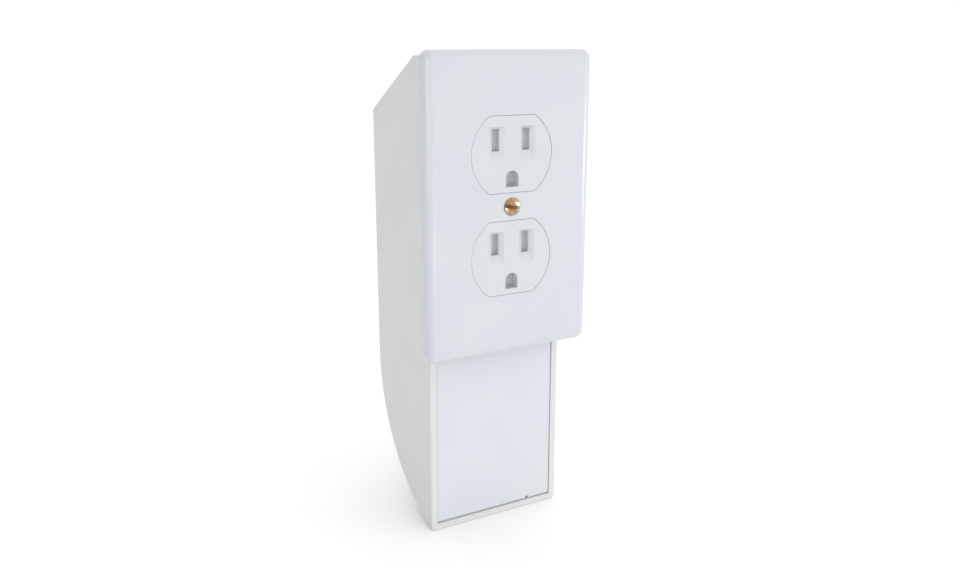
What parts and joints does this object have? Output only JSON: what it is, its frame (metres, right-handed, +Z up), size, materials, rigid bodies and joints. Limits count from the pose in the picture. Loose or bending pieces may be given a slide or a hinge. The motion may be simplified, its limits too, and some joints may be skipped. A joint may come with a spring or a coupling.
{
  "type": "dummy outlet wall box",
  "caption": "Tilt-out in-wall storage box hidden behind a dummy duplex outlet plate, hinged on a sill bracket at the foot of the wall opening.",
  "frame": {"origin": "in the face of the wall, on the axis of the cover plate's screw", "axes": "+X to the right seen from the room, +Y into the wall, +Z up; the plate's front faces -Y"},
  "size_m": [0.0698, 0.0663, 0.1898],
  "materials": {
    "bracket": "satin moulded plastic",
    "steel": "zinc plated",
    "shell": "semi-gloss moulded plastic",
    "frame": "semi-gloss moulded plastic",
    "strap": "zinc plated",
    "brass_insert": "machined",
    "faces": "gloss moulded plastic",
    "spring": "spring steel",
    "felt": "matt felt",
    "plate": "gloss moulded plastic",
    "brass_screw": "polished",
    "fibre": "red fibre"
  },
  "bodies": {
    "wall_bracket": {"sill_bracket": "bracket", "hinge_pins": "steel"},
    "bin": {"rear_shell": "shell", "front_frame": "frame", "strap": "strap", "strap_screws": "steel", "threaded_insert": "brass_insert", "upper_face": "faces", "lower_face": "faces", "catch_spring": "spring", "catch_rivets": "steel", "felt_liner": "felt"},
    "cover": {"wall_plate": "plate"},
    "screw": {"plate_screw": "brass_screw", "screw_retainer": "fibre"}
  },
  "joints": [
    {"name": "bin_tilt", "type": "hinge", "parent": "wall_bracket", "child": "bin", "pos_m": [0, -0.0017, -0.0532], "axis": [1, 0, 0], "range_deg": [0, 35]},
    {"name": "plate_off", "type": "slide", "parent": "bin", "child": "cover", "axis": [0, -1, 0], "range_m": [0, 0.03]},
    {"name": "screw_turn", "type": "hinge", "parent": "cover", "child": "screw", "pos_m": [0, -0.0055, 0], "axis": [0, -1, 0], "continuous": true}
  ]
}
